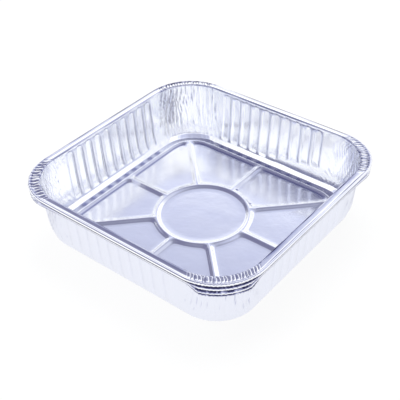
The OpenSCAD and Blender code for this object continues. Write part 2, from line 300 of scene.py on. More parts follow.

# Painted shade values: how they vary along a fold, and how the painted shade in a pleat's
# valley darkens with its depth
FOLD_SHADE_STRENGTH = 1.1
FOLD_SHADE_VARIETY = 0.2
VALLEY_FROM = 0.3
VALLEY_RUN = 0.5
VALLEY_GAIN = 1.6

# Steps of the rim's noise that one of its keys takes, or a pleat in the first pair, and
# that a row takes, or a millimetre of inset in the last pair
PLEAT_STEPS = (0.8, 0.12)
WANDER_STEPS = (31, 0.3)
PATCH_STEPS = (37, 1.7)
SPOT_STEPS = (60, 1.3)
LINE_STEPS = (8.5, 5)
pleat_noise = Noise(11)


def rim_noise(steps, place, shift=0):
    """Noise along one of the rim's rows."""
    return pleat_noise(RIM_KEYS * steps[0], place * steps[1] + shift)


def corner_share(start, run):
    """0 along the rim's sides and 1 in its corners, where the spare foil gathers.

    It rises from a start over a run of the outline's key, where a corner is from 1 to 2.
    """
    part = (RIM_KEYS - 0.5) % 2 + 0.5
    return smooth(np.minimum(part - start, 3 - start - part) / run)


def side_mix(values):
    """The four sides' values along the rim, each mixed into the next round the corner."""
    values = np.asarray(values, float)
    turn = np.clip(RIM_KEYS % 2 - 1, 0, 1)
    return values[RIM_QUARTER] * (1 - turn) + values[(RIM_QUARTER + 1) % 4] * turn


def pleats_at(level):
    """Height of the pleats round the corners, from -1 in a valley to PLEAT_RIDGE."""
    turn = (RIM_KEYS % 2 - 1) * RIM_PLEATS
    number = np.round(turn)
    variety = pleat_noise(number * PLEAT_STEPS[0] + 31 * RIM_QUARTER, level * PLEAT_STEPS[1] + 7)
    valley = smooth(1 - np.abs(turn - number) / PLEAT_SPREAD)
    height = (PLEAT_RIDGE - (1 + PLEAT_RIDGE) * valley) * (PLEAT_STRENGTH + PLEAT_VARIETY * variety)
    return height * corner_share(PLEAT_START, PLEAT_RUN)


def flange_level(inset, drop, share):
    """Height of the rim before its pleats and roll. The back sides' flange tilts outward."""
    back = side_mix(BACK_SIDES)
    if share > 0:
        inset = 0
    elif DISH_INSETS[0] < inset < DISH_INSETS[1]:
        drop = drop * (1 - (1 - BACK_DIP) * back)
    return HEIGHT - drop + BACK_TILT * back * (inset - TILT_INSET)


def rim_painted_shade(level, pleats, corner):
    """Painted shade values along one of the rim's rows, which darken its folds, valleys and lines.
    """
    inset, _, share, _, upward, _, crease, side, *lines = RIM_ROWS[level]
    patches = FOLD_SHADE_STRENGTH + (FOLD_SHADE_VARIETY + share) * rim_noise(PATCH_STEPS, level)
    # Painted shade in the hem's folds in a corner and along a side, in patches
    fold = side + (crease * HEM_SHADE[NEAR_CORNER] * patches - side) * corner
    if share == 0:
        strength = LINE_STRENGTH + LINE_VARIETY * rim_noise(LINE_STEPS, inset)
        fade = 1 - LINE_FADE * corner_share(LINE_START, LINE_RUN)
        fold = fold + side_mix(lines) * strength * fade
        spots = smooth(0.5 + SPOT_VARIETY * rim_noise(SPOT_STEPS, level, 20))
        outer = smooth((inset - SPOTS_FROM) / SPOTS_IN) * smooth((SPOTS_UNTIL - inset) / SPOTS_OUT)
        fold = fold + CORNER_SHADE_SPOTS[NEAR_CORNER] * spots * outer * corner
    valley = smooth((-pleats - VALLEY_FROM) / VALLEY_RUN) * smooth(VALLEY_GAIN * upward)
    return fold + PLEAT_SHADE[NEAR_CORNER] * valley


def add_rim(sheet):
    """The rim's roll and flange. Returns the row at the flange's inner edge."""
    rows = []
    corner = corner_share(HEM_START[NEAR_CORNER], HEM_RUN[NEAR_CORNER])
    roll = ROLL_DEPTH + (CORNER_ROLL_DEPTHS[NEAR_CORNER] - ROLL_DEPTH) * corner
    first, last = FLANGE_INSETS
    for level, (inset, drop, share, inward, upward, hem, *_) in enumerate(RIM_ROWS):
        pleats = pleats_at(level)
        push = inset + (inward * PLEAT_DEPTH * (pleats + 1) + hem) * corner
        wander = HEM_WANDER * rim_noise(WANDER_STEPS, level) / RIM_PLEATS * corner
        across = min(max((inset - first) / (last - first), 0), 1)
        round_in = FLANGE_ROUNDING * across * (share == 0)
        x, y = outline(RIM_HALF - push, RIM_CORNER + round_in - push, RIM_KEYS + wander)
        z = flange_level(inset, drop, share) - share * roll + upward * PLEAT_DEPTH * pleats
        rows.append(sheet.row(x, y, z, rim_painted_shade(level, pleats, corner)))
    for a, b in zip(rows, rows[1:]):
        sheet.band(a, b, RIM_KEYS, RIM_KEYS)
    return rows[-1]


# Wall

ARCH = FLUTE_WIDTH / 2
ARCH_RISE = 5.6
ARCH_TIP = 0.6
ARCH_FADE = 1.2
LEAST_ARCH = 0.3
LEAST_HALF_WIDTH = 0.5
FLUTE_MARKS = np.array([-1, -0.9, -0.8, -0.716, -0.4, 0, 0.4, 0.716, 0.8, 0.9, 1]) * ARCH
FLUTE_SPAN = (FLUTES - 1) / 2 * FLUTE_PITCH + ARCH
CORNER_COLUMNS = 78
END_COLUMNS = 8
WALL_LEVELS = np.concatenate([
    [WALL_TOP - 0.1, FLUTE_TOP + 0.3],
    FLUTE_TOP - np.array([0.12, 0.35, 0.7, 1.2, 1.9, 2.8, 4.0, 5.4]),
    np.linspace(FLUTE_TOP - 7.5, 24, 6),
    [21, 18.2, 15.8, 13.6, 11.8, 10.2, 8.8, 7.5, 6.3, 5.3, 4.6],
])

# Painted shade along a pressed edge on one flank of a flute, as a share of its half width,
# and painted shade at the top of its arch, as a drop below the flute's top
EDGE_SHADE = 0.36
EDGE_PLACE = 0.93
EDGE_REACH = 0.16
APEX_SHADE = 0.75
APEX_DROP = 0.9
APEX_REACH = 1.1

# Crinkles of the gathered corners: how far from a corner's middle they go, how they lean
# outward over the height, how strong they are, and how they fade toward the wall's foot
CRINKLE_REACH = np.array([50, 43, 50, 44])
CRINKLE_FADE = 14
CRINKLE_LEAN = np.array([0.42, 0.12, 0.42, 0.2])
LEAN_LEVEL = 30
LEAN_RUN = 15
CRINKLE_STRENGTH = np.array([0.75, 1.0, 0.85, 0.8])
# Painted shade in the crinkles' valleys
CRINKLE_SHADE = 0.8
FOOT_STRENGTH = 0.35
FOOT_FADE = (4, 16)

# Their two sizes: pitch, height, how they waver, and the waver's length round and down.
# Where the broad ones are strong the fine ones are weak.
BROAD = (5.6, 0.55, 0.9, 13, 26)
FINE = (2.7, 0.34, 1.2, 7, 19)
MIX_STRENGTH = 0.55
MIX_VARIETY = 0.45
MIX_WHOLE = 1.3
MIX_LENGTHS = (4, 14)

# Painted shade values deep in the crinkles, in patches
DEEP_GAIN = 2.4
DEEP_FROM = 0.5
PATCH_GAIN = 1.2
PATCH_LENGTHS = (3, 6)

# The way round a corner is measured a little outside its radius
ROUND_OUT = 4
WALL_WAVE = 0.12
WAVE_LENGTHS = (17, 23)
wall_noise, crease_noise, size_noise = Noise(3), Noise(5), Noise(9)


def wall_columns():
    """Columns of one quarter: a side with its flutes, then a corner.

    Returns the flute's number (or -1), the offset from its middle, the share of the plain
    stretch between the flutes and the corner, and the corner's angle.
    """
    ends = np.arange(END_COLUMNS) / END_COLUMNS
    columns = [(-1, -1, 1 - t, 0) for t in ends]
    columns += [(i, mark, 0, 0) for i in range(FLUTES) for mark in FLUTE_MARKS]
    columns += [(-1, 1, t, 0) for t in ends + 1 / END_COLUMNS]
    columns += [(-1, 1, 1, 90 * t) for t in np.arange(1, CORNER_COLUMNS) / CORNER_COLUMNS]
    return np.array(columns).T


NUMBER, OFFSET, SHARE, ANGLE = np.tile(wall_columns(), 4)
NUMBER = NUMBER.astype(int)
QUARTER = np.repeat(np.arange(4), len(NUMBER) // 4)
FLUTED = NUMBER >= 0
MIDDLE = np.where(FLUTED, (NUMBER - (FLUTES - 1) / 2) * FLUTE_PITCH, 0)

# Each flute's own lower end and depth. The back right side's flutes run out early at one end.
EARLY_ENDS = np.array([11.0, 9.0, 7.0, 4.5, 2.0])
flute_chance = np.random.default_rng(17)
FLUTE_ENDS = FLUTE_FOOT + flute_chance.uniform(-0.4, 0.8, (4, FLUTES))
FLUTE_ENDS[1, :len(EARLY_ENDS)] += EARLY_ENDS
FLUTE_DEPTHS = FLUTE_DEPTH * flute_chance.uniform(0.9, 1.08, (4, FLUTES))
FLUTE_END = FLUTE_ENDS[QUARTER, np.maximum(NUMBER, 0)]
OWN_DEPTH = FLUTE_DEPTHS[QUARTER, np.maximum(NUMBER, 0)]


def wall_outline(z):
    """Half size and corner radius of the wall at a height."""
    down = (WALL_TOP - z) / (WALL_TOP - CREASE_LEVEL)
    radius = WALL_TOP_CORNER + (FOOT_CORNER - WALL_TOP_CORNER) * down
    levels = np.linspace(z, WALL_TOP, SLOPE_SAMPLES)
    slopes = np.interp(levels, WALL_SLOPE_LEVELS, WALL_SLOPES)
    return WALL_TOP_HALF - (WALL_TOP - z) * (slopes[1:] + slopes[:-1]).mean() / 2, radius


def flute_half_width(z):
    """Half the flute's width at a height, with a round arch on top."""
    below = np.clip((FLUTE_TOP - z) / ARCH_RISE, 0, 1)
    return ARCH * np.sqrt(1 - (1 - below) ** 2)


def flute_depth(offset, z):
    """How far the flute stands out of the wall at an offset from its middle."""
    half = flute_half_width(z)
    flank = np.clip((half - np.abs(offset)) / FLANK_WIDTH, 0, 1)
    fade = smooth((z - FLUTE_END) / FLUTE_FADE) * smooth((FLUTE_TOP - z) / ARCH_FADE + 0.1)
    bowl = np.clip(1 - (offset / np.maximum(half, LEAST_HALF_WIDTH)) ** 2, 0, 1)
    return OWN_DEPTH * (FLANK_SHARE * flank + (1 - FLANK_SHARE) * bowl) * fade


def flute_crease(z):
    """Painted shade value of a flute's pressed edge and of the top of its arch."""
    edge = EDGE_SHADE * smooth(1 - np.abs(OFFSET / ARCH + EDGE_PLACE) / EDGE_REACH)
    fade = smooth((z - FLUTE_END) / FLUTE_FADE) * (z < FLUTE_TOP)
    apex = APEX_SHADE * smooth(1 - abs(FLUTE_TOP - APEX_DROP - z) / APEX_REACH)
    return np.where(FLUTED, edge * fade + apex * (np.abs(OFFSET) < ARCH / 2), 0)


def crinkle(along, z, corner):
    """Crinkles of the gathered corner wall, in millimetres outward.

    along is the way round the corner in millimetres, from 0 at its middle.
    """
    near = smooth((CRINKLE_REACH[corner] - np.abs(along)) / CRINKLE_FADE)
    along = along + CRINKLE_LEAN[corner] * (z - LEAN_LEVEL) * np.clip(along / LEAN_RUN, -1, 1)
    height = FOOT_STRENGTH + (1 - FOOT_STRENGTH) * smooth((z - FOOT_FADE[0]) / FOOT_FADE[1])
    shift = 17 * corner

    def wave(size, noise, down_shift):
        pitch, _, waver, length_round, length_down = size
        noise_here = noise(along / length_round + shift, z / length_down + down_shift)
        return zigzag(along / pitch + waver * noise_here)

    broad, fine = wave(BROAD, crease_noise, 0), wave(FINE, wall_noise, 5)
    mix = size_noise(along / MIX_LENGTHS[0] + shift, z / MIX_LENGTHS[1])
    sizes = MIX_STRENGTH + MIX_VARIETY * mix
    folds = BROAD[1] * broad * sizes + FINE[1] * fine * (MIX_WHOLE - sizes)
    return near * height * CRINKLE_STRENGTH[corner] * folds


def add_wall(sheet):
    """The fluted sides and crinkled corners. Returns the top row and the lowest."""
    rows = []
    shift = FLUTE_SHIFT[QUARTER]
    angle = np.radians(ANGLE)
    for z in WALL_LEVELS:
        half, radius = wall_outline(z)
        inner = half - radius
        share = max(flute_half_width(min(z, FLUTE_TOP - ARCH_TIP)) / ARCH, LEAST_ARCH)
        side = np.where(FLUTED, MIDDLE + OFFSET * share + shift,
                        OFFSET * (FLUTE_SPAN + SHARE * (inner - FLUTE_SPAN)) + shift * (1 - SHARE))
        depth = np.where(FLUTED, flute_depth(OFFSET * share, z), 0)
        way = radius + ROUND_OUT
        along = np.where(ANGLE > 0, np.radians(ANGLE - 45) * way,
                         side - np.sign(side) * (inner + way * math.pi / 4))
        corner = np.where(ANGLE > 0, QUARTER, np.where(side > 0, QUARTER, QUARTER - 1)) % 4
        crinkles = crinkle(along, z, corner)
        wave = wall_noise(side / WAVE_LENGTHS[0] + 9 * QUARTER, z / WAVE_LENGTHS[1])
        reach = radius + (depth + crinkles + WALL_WAVE * wave * (ANGLE == 0))
        x = inner + reach * np.cos(angle)
        y = np.where(ANGLE > 0, inner, side) + reach * np.sin(angle)
        x, y = turned(x, y, QUARTER)
        # Painted shade deep in the crinkles' valleys, in patches, and along the flutes' edges
        patches = size_noise(along / PATCH_LENGTHS[0] + 40 + 7 * corner, z / PATCH_LENGTHS[1])
        deep = smooth(-DEEP_GAIN * crinkles - DEEP_FROM) * smooth(0.5 + PATCH_GAIN * patches)
        rows.append(sheet.row(x, y, z, CRINKLE_SHADE * deep, flute_crease(z)))
    for a, b in zip(rows, rows[1:]):
        sheet.band(a, b, WALL_KEYS, WALL_KEYS)
    return rows[0], rows[-1]


def wall_keys():
    """Keys of the wall's columns, for joining them to the plain rows."""
    inner = WALL_TOP_HALF - WALL_TOP_CORNER
    side = np.where(FLUTED, MIDDLE + OFFSET,
                    OFFSET * (FLUTE_SPAN + SHARE * (inner - FLUTE_SPAN)))
    part = np.where(ANGLE > 0, 1 + ANGLE / 90, (side / inner + 1) / 2)
    return 2 * QUARTER + part


WALL_KEYS = wall_keys()

# Foot: plain rows of half size, corner radius and height from the bend to the border rib
FOOT_KEYS = spread(16, 44)
CHANNEL_KEYS = spread(72, 40)
BEND_LEVELS = (4.2, 3.9, 3.5, 2.9, 2.2, 1.6, CREASE_LEVEL)
PRINT_HEIGHT = 0.35
PRINT_SHARE = 0.5
# Painted shade along the flutes' prints
PRINT_SHADE = 0.5


def flute_prints(key):
    """The flutes' lower ends printed in the channel, from 0 to 1."""
    quarter = np.floor(key / 2).astype(int) % 4
    side = (2 * (key % 2) - 1) * (CREASE_HALF - FOOT_CORNER) - FLUTE_SHIFT[quarter]
    step = side / FLUTE_PITCH + (FLUTES - 1) / 2
    number = np.clip(np.round(step), 0, FLUTES - 1)
    return smooth(1 - np.abs(step - number) / PRINT_SHARE) * (key % 2 < 1)


def foot_rows():
    """Rows of the bend, the channel and the border rib's outer slope.

    Each is a half size, a height and the height of the flutes' prints in it.
    """
    outer = BORDER_HALF + RIB_TOP_HALF
    foot = outer + RIB_SLOPE
    return [(wall_outline(z)[0], z, 0) for z in BEND_LEVELS] + [
        (CREASE_HALF - 0.55, 0.4, 0.0),
        (CREASE_HALF - 1.2, 0.15, 0.7),
        (CREASE_HALF - 2.2, FOOT_LEVEL, 1.0),
        (CREASE_HALF - 4.2, FOOT_LEVEL, 1.0),
        (foot + 1.6, FOOT_LEVEL, 0.7),
        (foot + 0.5, FOOT_LEVEL + 0.04, 0.0),
        (foot - 0.3, FOOT_LEVEL + 0.5, 0.0),
        (outer + 0.6, RIB_LEVEL - 0.75, 0.0),
        (outer + 0.1, RIB_LEVEL - 0.25, 0.0),
        (outer - 0.5, RIB_LEVEL, 0.0),
    ]


def add_foot(sheet):
    """The foot of the wall. Returns its first row and its last."""
    outer = BORDER_HALF + RIB_TOP_HALF
    rows = []
    for half, z, prints in foot_rows():
        keys = CHANNEL_KEYS if prints else FOOT_KEYS
        quarter = np.floor(keys / 2).astype(int) % 4
        along = (keys % 2 - 1.5) * (FOOT_CORNER + ROUND_OUT) * math.pi / 2
        out = crinkle(along, z, quarter) * (half > CREASE_HALF - 1)
        mix = np.clip((half - outer) / (CREASE_HALF - outer), 0, 1)
        radius = (BORDER_CORNER + RIB_TOP_HALF) * (1 - mix) + FOOT_CORNER * mix
        x, y = outline(half + out, radius + out, keys)
        shape = prints * flute_prints(keys)
        rows.append((sheet.row(x, y, z + PRINT_HEIGHT * shape, 0, PRINT_SHADE * shape), keys))
    for (a, keys_a), (b, keys_b) in zip(rows, rows[1:]):
        sheet.band(a, b, keys_a, keys_b)
    return rows[0][0], rows[-1][0]


# Floor

RIB_ROUND = (0.1, 4.1)
RIB_DISTANCES = (0.7, 1.15, 1.6, 2.1, 2.6, 3.1, 3.6, 4.2)
# Painted shade on the border rib's inner slope: its strength, the distance where it is strongest,
# its reach, and its margin from the border
RIB_SHADE = 0.5
RIB_SHADE_PLACE = 2.9
RIB_SHADE_REACH = 1.3
RIB_SHADE_MARGIN = 1.2
PANEL_STEPS = (0.86, 0.68, 0.48, 0.26)
DISC_STEPS = (0.86, 0.72, 0.58, 0.44, 0.3, 0.15)
PANEL_RADIUS = (RING_RADIUS + BORDER_HALF) / 2 + 4
PANEL_LIMIT = 70.0
HALVINGS = 30
SPOKE_STEPS = 8
RING_STEPS = 12
RING_ANGLES = np.radians(np.arange(SECTORS * RING_STEPS) * 360 / (SECTORS * RING_STEPS))

# Rays from a panel's middle to the ribs round it, closer together near its corners
RAYS = 46
RAY_SAMPLES = 2000
CORNER_RAYS = 5
CORNER_RAYS_WIDTH = 0.16


def rib_level(distance):
    """Level of the floor at a distance from the middle of a rib, which is round on top."""
    down = float(smooth((distance - RIB_ROUND[0]) / (RIB_ROUND[1] - RIB_ROUND[0])))
    return RIB_LEVEL - (RIB_LEVEL - PANEL_LEVEL) * down


def border_distance(x, y):
    """Distance inward from the middle of the border rib."""
    inner = BORDER_HALF - BORDER_CORNER
    qx, qy = np.abs(x) - inner, np.abs(y) - inner
    outside = np.hypot(np.maximum(qx, 0), np.maximum(qy, 0))
    return BORDER_CORNER - outside - np.minimum(np.maximum(qx, qy), 0)


def rib_distance(x, y, sector):
    """Blended distance from the ribs round a sector's panel."""
    near, far = np.radians(SECTOR_DEGREES * sector), np.radians(SECTOR_DEGREES * (sector + 1))
    distances = (np.hypot(x, y) - RING_RADIUS, border_distance(x, y),
                 y * np.cos(near) - x * np.sin(near), x * np.sin(far) - y * np.cos(far))
    total = sum(np.exp(-PANEL_ROUNDING * d) for d in distances)
    return -np.log(total) / PANEL_ROUNDING


def panel_loop(sector, wanted, middle, directions):
    """Points round a panel where the distance from the ribs has a value."""
    low, high = np.zeros(RAYS), np.full(RAYS, PANEL_LIMIT)
    for _ in range(HALVINGS):
        half_way = (low + high) / 2
        x, y = middle[0] + half_way * directions[0], middle[1] + half_way * directions[1]
        inside = rib_distance(x, y, sector) > wanted
        low, high = np.where(inside, half_way, low), np.where(inside, high, half_way)
    return x, y


def spoke_key(sector):
    """The outline's key at a sector's first spoke."""
    return (sector + 0.5) % WHOLE


def sector_border_keys(sector):
    """Keys of the border rib's middle line within a sector."""
    start = sector + 0.5
    margin = 1e-6
    keys = np.concatenate([FOOT_KEYS, FOOT_KEYS + WHOLE])
    return keys[(keys > start + margin) & (keys < start + 1 - margin)]


def panel_corner_turns(sector, middle, start):
    """Bearings of a panel's four corners, from its first."""
    keys = np.array([spoke_key(sector), spoke_key(sector + 1)])
    bx, by = outline(BORDER_HALF, BORDER_CORNER, keys)
    near, far = np.radians([SECTOR_DEGREES * sector, SECTOR_DEGREES * (sector + 1)])
    x = np.array([RING_RADIUS * math.cos(near), bx[0], bx[1], RING_RADIUS * math.cos(far)])
    y = np.array([RING_RADIUS * math.sin(near), by[0], by[1], RING_RADIUS * math.sin(far)])
    return np.mod(np.arctan2(y - middle[1], x - middle[0]) - start, 2 * math.pi)


def gathered_rays(corner_turns):
    """Bearings round a panel, denser near its corners."""
    fine = np.linspace(0, 2 * math.pi, RAY_SAMPLES, endpoint=False)
    away = np.min([np.abs(np.angle(np.exp(1j * (fine - c)))) for c in corner_turns], 0)
    weight = 1 + CORNER_RAYS * np.exp(-(away / CORNER_RAYS_WIDTH) ** 2)
    total = np.cumsum(weight)
    return np.interp((np.arange(RAYS) + 0.5) / RAYS * total[-1], total, fine)


def add_spoke(sheet, sector):
    """Vertices along a spoke's middle, between the ring rib and the border rib."""
    angle = math.radians(SECTOR_DEGREES * sector)
    bx, by = outline(BORDER_HALF, BORDER_CORNER, np.array([spoke_key(sector)]))
    reach = float(np.hypot(bx, by)[0])
    steps = RING_RADIUS + (reach - RING_RADIUS) * np.arange(1, SPOKE_STEPS) / SPOKE_STEPS
    return sheet.row(steps * math.cos(angle), steps * math.sin(angle), RIB_LEVEL)


def add_ring(sheet, radius, level):
    """A row of vertices round the middle of the floor."""
    return sheet.row(radius * np.cos(RING_ANGLES), radius * np.sin(RING_ANGLES), level)


def panel_edge(sector, ring, spokes, border_index):
    """Vertices on the ribs' middles round a panel, from the first spoke outward."""
    first, last = (border_index[round(spoke_key(sector + step), 6)] for step in (0, 1))
    arc = [border_index[round(float(key) % WHOLE, 6)] for key in sector_border_keys(sector)]
    ring_part = ring[(sector * RING_STEPS + np.arange(RING_STEPS, -1, -1)) % len(ring)]
    return np.concatenate([spokes[sector], [first], arc, [last],
                           spokes[(sector + 1) % SECTORS][::-1], ring_part])


def add_panel(sheet, sector, loop):
    """One panel, down the slopes of the ribs round it and in to its middle."""
    middle_angle = math.radians(SECTOR_DEGREES * (sector + 0.5))
    middle = PANEL_RADIUS * np.array([math.cos(middle_angle), math.sin(middle_angle)])
    points = np.concatenate(sheet.points)[loop]
    bearing = np.unwrap(np.arctan2(points[:, 1] - middle[1], points[:, 0] - middle[0]))
    rays = gathered_rays(panel_corner_turns(sector, middle, bearing[0]))
    directions = np.cos(bearing[0] + rays), np.sin(bearing[0] + rays)
    previous, previous_keys = loop, bearing - bearing[0]
    for distance in RIB_DISTANCES:
        x, y = panel_loop(sector, distance, middle, directions)
        # Painted shade on the slope of the border rib
        border_side = smooth(distance + RIB_SHADE_MARGIN - border_distance(x, y))
        slope_shade = smooth(1 - abs(distance - RIB_SHADE_PLACE) / RIB_SHADE_REACH)
        row = sheet.row(x, y, rib_level(distance), 0, RIB_SHADE * slope_shade * border_side)
        sheet.band(previous, row, previous_keys, rays, 2 * math.pi)
        previous, previous_keys = row, rays
    for share in PANEL_STEPS:
        px, py = middle[0] + (x - middle[0]) * share, middle[1] + (y - middle[1]) * share
        row = sheet.row(px, py, PANEL_LEVEL)
        sheet.band(previous, row, rays, rays, 2 * math.pi)
        previous = row
    centre = sheet.row(middle[:1], middle[1:], PANEL_LEVEL)
    sheet.fan(previous, centre[0])


def add_disc(sheet, ring):
    """The round middle panel inside the ring rib."""
    rows = [ring]
    rows += [add_ring(sheet, RING_RADIUS - d, rib_level(d)) for d in RIB_DISTANCES]
    inside = RING_RADIUS - RIB_DISTANCES[-1]
    rows += [add_ring(sheet, inside * share, PANEL_LEVEL) for share in DISC_STEPS]
    for a, b in zip(rows, rows[1:]):
        sheet.band(a, b, RING_ANGLES, RING_ANGLES, 2 * math.pi)
    centre = sheet.row(np.zeros(1), np.zeros(1), PANEL_LEVEL)
    sheet.fan(rows[-1], centre[0])


def add_floor(sheet, border):
    """Eight panels between the ribs, and the disc inside the ring rib."""
    ring = add_ring(sheet, RING_RADIUS, RIB_LEVEL)
    spokes = [add_spoke(sheet, sector) for sector in range(SECTORS)]
    border_index = {round(float(key), 6): n for key, n in zip(FOOT_KEYS, border)}
    for sector in range(SECTORS):
        add_panel(sheet, sector, panel_edge(sector, ring, spokes, border_index))
    add_disc(sheet, ring)


def build_sheet():
    """Points and triangles of the whole skin, and its two sets of painted shade values."""
    sheet = Sheet()
    rim_end = add_rim(sheet)
    wall_start, wall_end = add_wall(sheet)
    sheet.band(rim_end, wall_start, RIM_KEYS, WALL_KEYS)
    foot_start, foot_end = add_foot(sheet)
    sheet.band(wall_end, foot_start, WALL_KEYS, FOOT_KEYS)
    x, y = outline(BORDER_HALF, BORDER_CORNER, FOOT_KEYS)
    border = sheet.row(x, y, RIB_LEVEL)
    sheet.band(foot_end, border, FOOT_KEYS, FOOT_KEYS)
    add_floor(sheet, border)
    return (np.concatenate(sheet.points), np.concatenate(sheet.triangles),
            {"crease": np.concatenate(sheet.creases), "press": np.concatenate(sheet.presses)})


# Dents of the floor: their heights and lengths, and where they fade below and inside the wall
BROAD_DENT, BROAD_DENT_LENGTH = 0.10, 31
SMALL_DENT, SMALL_DENT_LENGTH = 0.05, 12
DENTS_BELOW, DENTS_DOWN = 9, 3
DENTS_IN = 6
broad_dents, small_dents = Noise(31), Noise(32)


def uneven(points):
    """The points with the floor's shallow dents, which fade out toward the stiff walls."""
    x, y, z = points.T
    low = smooth((DENTS_BELOW - z) / DENTS_DOWN)
    floor = low * smooth((BORDER_HALF - np.maximum(np.abs(x), np.abs(y))) / DENTS_IN)
    wave = (BROAD_DENT * broad_dents(x / BROAD_DENT_LENGTH + 3, y / BROAD_DENT_LENGTH + 9)
            + SMALL_DENT * small_dents(x / SMALL_DENT_LENGTH, y / SMALL_DENT_LENGTH + 5))
    points = points.copy()
    points[:, 2] += floor * wave
    return points


def make_tray(bright, matt):
    """The foil as one mesh, bright side up and matt side under."""
    points, triangles, marks = build_sheet()
    points = uneven(points) * MM
    mesh = bpy.data.meshes.new("foil_tray")
    mesh.from_pydata(points.tolist(), [], triangles.tolist())
    mesh.update()
    mesh.polygons.foreach_set("use_smooth", [True] * len(mesh.polygons))
    for name, values in marks.items():
        attribute = mesh.attributes.new(name, "FLOAT", "POINT")
        attribute.data.foreach_set("value", values.astype(np.float32))
    mesh.materials.append(bright)
    mesh.materials.append(matt)
    tray = bpy.data.objects.new("foil_tray", mesh)
    bpy.context.scene.collection.objects.link(tray)
    thick = tray.modifiers.new("foil", "SOLIDIFY")
    thick.thickness = FOIL * MM
    thick.offset = -1
    thick.material_offset = 1
    return tray


# Material

FOIL_COLOUR = (0.96, 0.972, 1.0)
MATT_COLOUR = (0.89, 0.91, 1.0)
# Painted shade colours that folds, creases and pressed edges darken toward, and the painted shade
# value where the first is reached
FOLD_SHADE_COLOUR = (0.36, 0.38, 0.6)
CREASE_SHADE_COLOUR = (0.03, 0.03, 0.1)
FOLD_SHADE_STOP = 0.5
BRIGHT_ROUGHNESS = 0.17
MATT_ROUGHNESS = 0.42
DULL_SPREAD = 0.12
FOLD_ROUGHER = 0.3
WALL_ROUGHER = 0.02
WALL_ROUGHER_LEVELS = (3.8, 7.6)

# Two small nicks in the floor beside the ring rib, as painted shade: places and radius
NICK_SHADES = ((3.5, 45.4, 4.4), (24.5, 36.5, 4.4))
NICK_SHADE_RADIUS = 1.7

# Noises by scale, detail and stretch. The grain is the rolling lines.
DENT_NOISE = (120, 3, (1, 1, 1))
GRAIN_NOISE = (900, 2, (1, 0.06, 1))
DULL_NOISE = (55, 4, (1, 1, 1))
GRAIN_HEIGHT = 0.06
BUMP_STRENGTH = 0.22
BUMP_DISTANCE = 0.4 * MM


def math_node(nodes, links, operation, first, second, third=None):
    """A node of arithmetic on numbers and sockets."""
    node = nodes.new("ShaderNodeMath")
    node.operation = operation
    for socket, value in zip(node.inputs, (first, second, third)):
        if value is None:
            continue
        if isinstance(value, (int, float)):
            socket.default_value = value
        else:
            links.new(value, socket)
    return node.outputs[0]


def map_range(nodes, links, value, start, end):
    """A value mapped to 0 at a start and 1 at an end, and held between the two."""
    node = nodes.new("ShaderNodeMapRange")
    node.inputs["From Min"].default_value = start
    node.inputs["From Max"].default_value = end
    links.new(value, node.inputs["Value"])
    return node


def mesh_value(nodes, name):
    """A value that the mesh keeps at its vertices."""
    node = nodes.new("ShaderNodeAttribute")
    node.attribute_name = name
    return node.outputs["Fac"]


def noise_texture(nodes, links, place, scale, detail, stretch):
    """Noise at a place on the tray."""
    sized = nodes.new("ShaderNodeMapping")
    sized.inputs["Scale"].default_value = stretch
    links.new(place, sized.inputs["Vector"])
    texture = nodes.new("ShaderNodeTexNoise")
    texture.inputs["Scale"].default_value = scale
    texture.inputs["Detail"].default_value = detail
    links.new(sized.outputs[0], texture.inputs["Vector"])
    return texture.outputs["Fac"]


def with_nick_shades(nodes, links, place, fold_shade):
    """The painted shade value with the floor's nicks painted into it as dark spots."""
    for nick in NICK_SHADES:
        away = nodes.new("ShaderNodeVectorMath")
        away.operation = "DISTANCE"
        links.new(place, away.inputs[0])
        away.inputs[1].default_value = [size * MM for size in nick]
        mark = map_range(nodes, links, away.outputs["Value"], NICK_SHADE_RADIUS * MM, 0)
        fold_shade = math_node(nodes, links, "MAXIMUM", fold_shade, mark.outputs[0])
    return fold_shade


